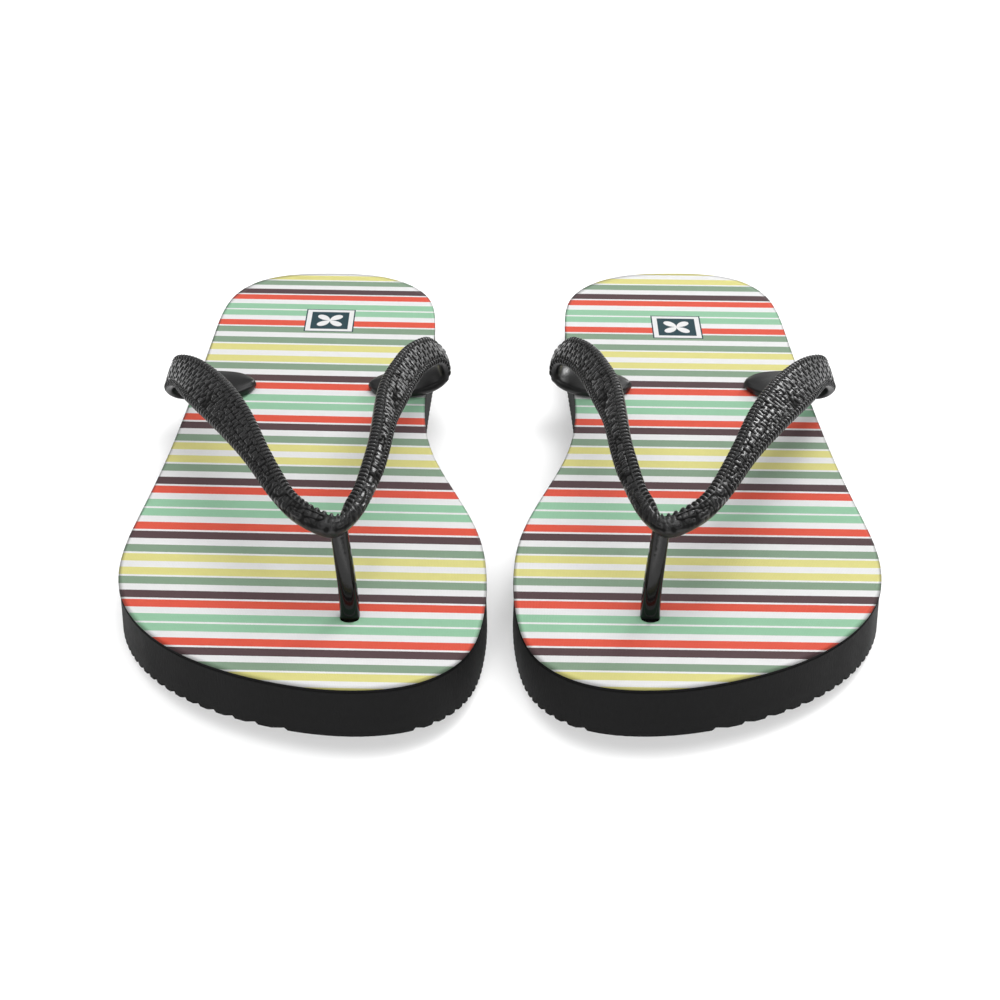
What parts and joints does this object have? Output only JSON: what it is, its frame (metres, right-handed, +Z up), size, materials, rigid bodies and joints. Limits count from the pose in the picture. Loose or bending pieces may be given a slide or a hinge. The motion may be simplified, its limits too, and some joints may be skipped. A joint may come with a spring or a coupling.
{
  "type": "flip flop pair",
  "caption": "Pair of flip flops: flat ribbed sole with a gentle toe spring, striped cloth footbed, embossed Y strap curled round the sole's edges, toe post.",
  "frame": {"origin": "on the floor, midway between the two shoes and midway between heel and toe tips", "axes": "+Z up, +Y from toe to heel, +X from the right shoe to the left shoe"},
  "size_m": [0.219, 0.2651, 0.0482],
  "materials": {
    "printed_cloth": "matt canvas printed with stripes",
    "foam": "matt cut foam",
    "tread_rubber": "matt ribbed rubber",
    "strap_rubber": "semi-matt embossed soft plastic",
    "post_rubber": "smooth glossy soft plastic"
  },
  "bodies": {
    "right_flip_flop": {"right_top_cloth": "printed_cloth", "right_midsole": "foam", "right_outsole": "tread_rubber", "right_strap": "strap_rubber", "right_toe_post": "post_rubber"},
    "left_flip_flop": {"left_top_cloth": "printed_cloth", "left_midsole": "foam", "left_outsole": "tread_rubber", "left_strap": "strap_rubber", "left_toe_post": "post_rubber"}
  },
  "joints": [
    {"name": "left_shoe_lift", "type": "slide", "parent": "right_flip_flop", "child": "left_flip_flop", "axis": [0, 0, 1], "range_m": [0, 0.15]}
  ]
}
